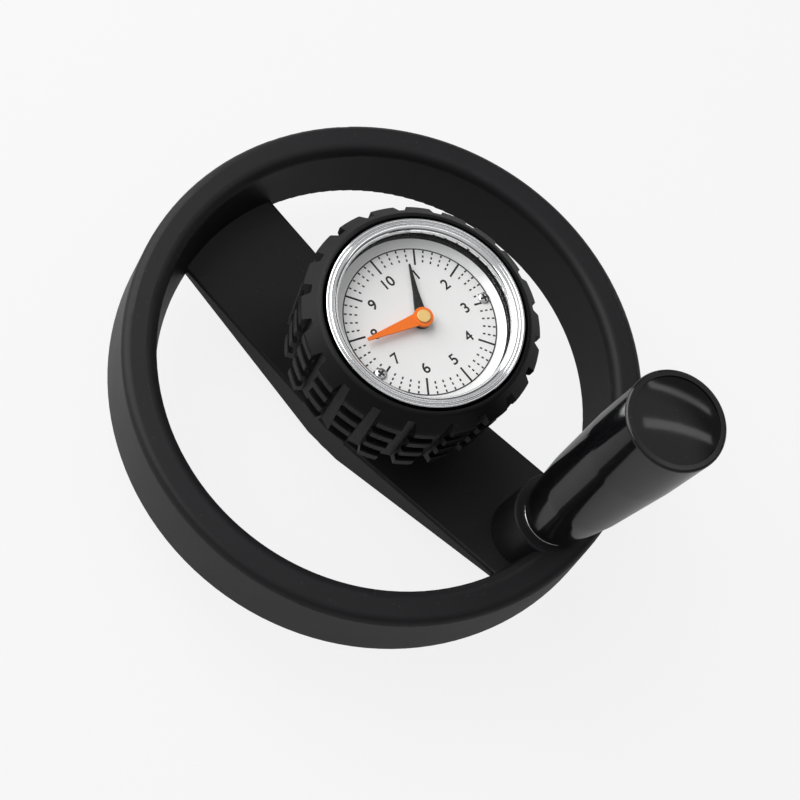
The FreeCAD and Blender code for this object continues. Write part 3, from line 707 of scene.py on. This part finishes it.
def pale_floor():
    """White floor that keeps the object's shadow, shows in gloss and is clear from below."""
    mesh = bmesh.new()
    level = cad_box[0].z - FLOOR_DROP
    corners = ((-1, -1), (1, -1), (1, 1), (-1, 1))
    mesh.faces.new([mesh.verts.new((x * FLOOR_HALF, y * FLOOR_HALF, level)) for x, y in corners])
    data = bpy.data.meshes.new("floor")
    mesh.to_mesh(data)
    mesh.free()
    floor = bpy.data.objects.new("floor", data)
    scene.collection.objects.link(floor)
    finish = bpy.data.materials.new("floor_white")
    finish.use_nodes = True
    tree = finish.node_tree
    tree.nodes.remove(tree.nodes["Principled BSDF"])
    path = add_node(tree, "LightPath", {}).outputs
    straight = reckon(tree, "MAXIMUM", path["Is Camera Ray"], path["Is Transmission Ray"])
    mirrored = reckon(tree, "MULTIPLY", path["Is Glossy Ray"], FLOOR_WHITE_MIRRORED)
    share = reckon(tree, "MAXIMUM", reckon(tree, "MULTIPLY", straight, FLOOR_WHITE_SEEN), mirrored)
    paper = add_node(tree, "BsdfDiffuse", {"Color": FLOOR_PAPER})
    white = add_node(tree, "Emission", {"Color": (1.0, 1.0, 1.0, 1.0), "Strength": 1.0})
    mixed = add_node(tree, "MixShader", {0: share, 1: paper.outputs[0], 2: white.outputs[0]})
    clear = add_node(tree, "BsdfTransparent", {})
    from_below = add_node(tree, "NewGeometry", {}).outputs["Backfacing"]
    shown = add_node(tree, "MixShader", {0: from_below, 1: mixed.outputs[0], 2: clear.outputs[0]})
    join(tree, tree.nodes["Material Output"].inputs["Surface"], shown.outputs[0])
    data.materials.append(finish)


def soft_room():
    """Pale walls low down, darker ones above and a soft ceiling."""
    world = bpy.data.worlds.new("soft_room")
    scene.world = world
    world.use_nodes = True
    tree = world.node_tree
    direction = add_node(tree, "TexCoord", {}).outputs["Generated"]
    height = add_node(tree, "SeparateXYZ", {"Vector": direction}).outputs["Z"]
    ramp = add_node(tree, "ValToRGB", {"Fac": height})
    ramp.color_ramp.interpolation = "EASE"
    stops = ramp.color_ramp.elements
    stops[0].position, stops[0].color = ROOM_TONES[0]
    stops[1].position, stops[1].color = ROOM_TONES[-1]
    for place, tone in ROOM_TONES[1:-1]:
        stops.new(place).color = tone
    join(tree, tree.nodes["Background"].inputs["Color"], ramp.outputs["Color"])
    tree.nodes["Background"].inputs["Strength"].default_value = 1.0


def soft_lamp(name, place, aim, width, watts):
    """A square lamp turned to a point."""
    lamp = bpy.data.lights.new(name, "AREA")
    lamp.shape = "SQUARE"
    lamp.size = width
    lamp.energy = watts
    holder = bpy.data.objects.new(name, lamp)
    holder.location = place
    holder.rotation_euler = (Vector(aim) - Vector(place)).to_track_quat("-Z", "Y").to_euler()
    scene.collection.objects.link(holder)


def ceiling_strip(name, start, end, height, width, watts):
    """A long narrow lamp that hangs level and shines down."""
    along = Vector(end) - Vector(start)
    lamp = bpy.data.lights.new(name, "AREA")
    lamp.shape = "RECTANGLE"
    lamp.size = along.length
    lamp.size_y = width
    lamp.energy = watts
    holder = bpy.data.objects.new(name, lamp)
    holder.location = (Vector(start) + along / 2).to_3d() + UP * height
    holder.rotation_euler.z = math.atan2(along.y, along.x)
    scene.collection.objects.link(holder)


def photo_camera():
    """The camera at the photograph's viewing angle."""
    forward = (CAMERA_TARGET - CAMERA_PLACE).normalized()
    side = forward.cross(UP).normalized()
    level_up = side.cross(forward)
    lean_up = math.cos(CAMERA_LEAN) * level_up + math.sin(CAMERA_LEAN) * side
    right = forward.cross(lean_up)
    lens = bpy.data.cameras.new("camera")
    lens.lens = CAMERA_LENS_MM
    lens.sensor_width = CAMERA_SENSOR_MM
    lens.sensor_fit = "HORIZONTAL"
    holder = bpy.data.objects.new("camera", lens)
    turn = Matrix((right, lean_up, -forward)).transposed().to_4x4()
    holder.matrix_world = Matrix.Translation(CAMERA_PLACE) @ turn
    scene.collection.objects.link(holder)
    scene.camera = holder


pale_floor()
soft_room()
soft_lamp("key_lamp", place=(-0.80, -0.13, 0.72), aim=(0.0, 0.0, 0.05), width=1.3, watts=16.8)
ceiling_strip("far_strip", start=(-0.26, 0.71), end=(0.39, 1.16), height=1.0,
              width=0.10, watts=0.4)
ceiling_strip("near_strip", start=(-0.05, 0.26), end=(0.55, 0.80), height=1.0,
              width=0.09, watts=0.36)
photo_camera()
scene.view_settings.view_transform = "Standard"
